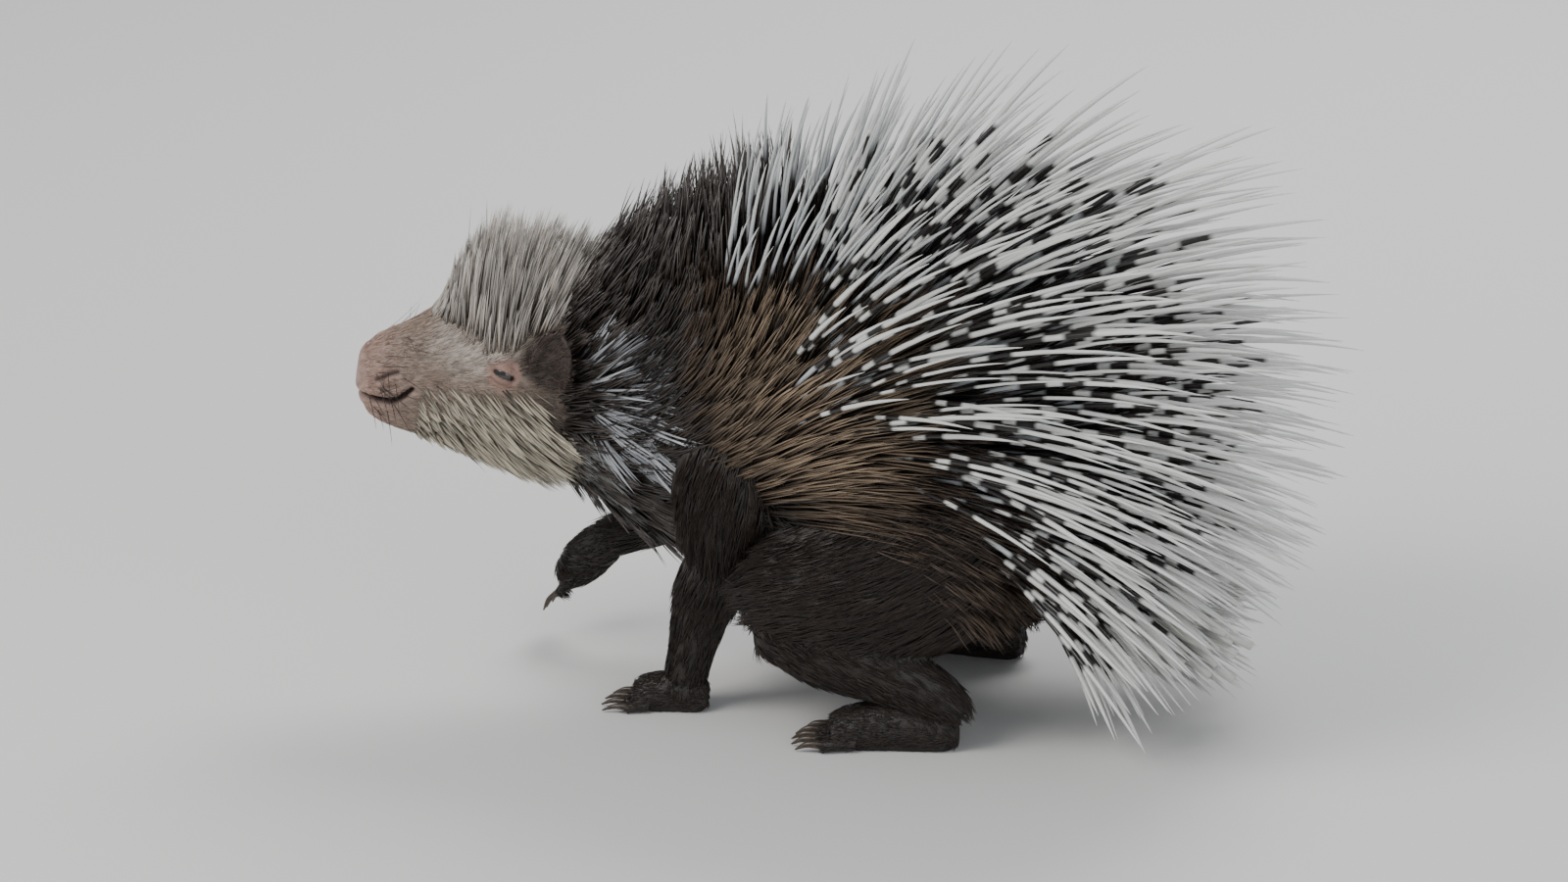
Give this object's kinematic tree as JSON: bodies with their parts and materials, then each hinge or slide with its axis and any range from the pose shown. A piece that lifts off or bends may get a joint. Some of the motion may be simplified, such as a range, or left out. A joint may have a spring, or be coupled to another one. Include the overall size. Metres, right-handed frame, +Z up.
{
  "type": "porcupine",
  "caption": "Life-size crested porcupine crouched on its haunches with its head lifted, its eyes nearly shut, one forepaw raised and its quills spread.",
  "frame": {"origin": "middle of the model's box, on the floor", "axes": "+Z up; the tail points to +X and the nose to -X; +Y is the animal's right"},
  "size_m": [0.6174, 0.36, 0.4092],
  "materials": {
    "face": "matte",
    "ear": "matte",
    "eye": "gloss",
    "coat": "matte",
    "ruff": "matte",
    "quills": "satin",
    "feet": "matte"
  },
  "bodies": {
    "root": {"head": "face", "jaw": "face", "neck": "ruff", "chest": "coat", "back": "quills", "rump": "quills", "tail": "quills", "left_thigh": "coat", "right_thigh": "coat", "left_shank": "coat", "right_shank": "coat", "left_hind_foot": "feet", "right_hind_foot": "feet", "left_upper_arm": "coat", "left_forearm": "coat", "left_forefoot": "feet", "right_upper_arm": "coat", "right_forearm": "coat", "right_forefoot": "feet", "left_eye": "eye", "left_ear": "ear", "right_eye": "eye", "right_ear": "ear"}
  },
  "joints": []
}
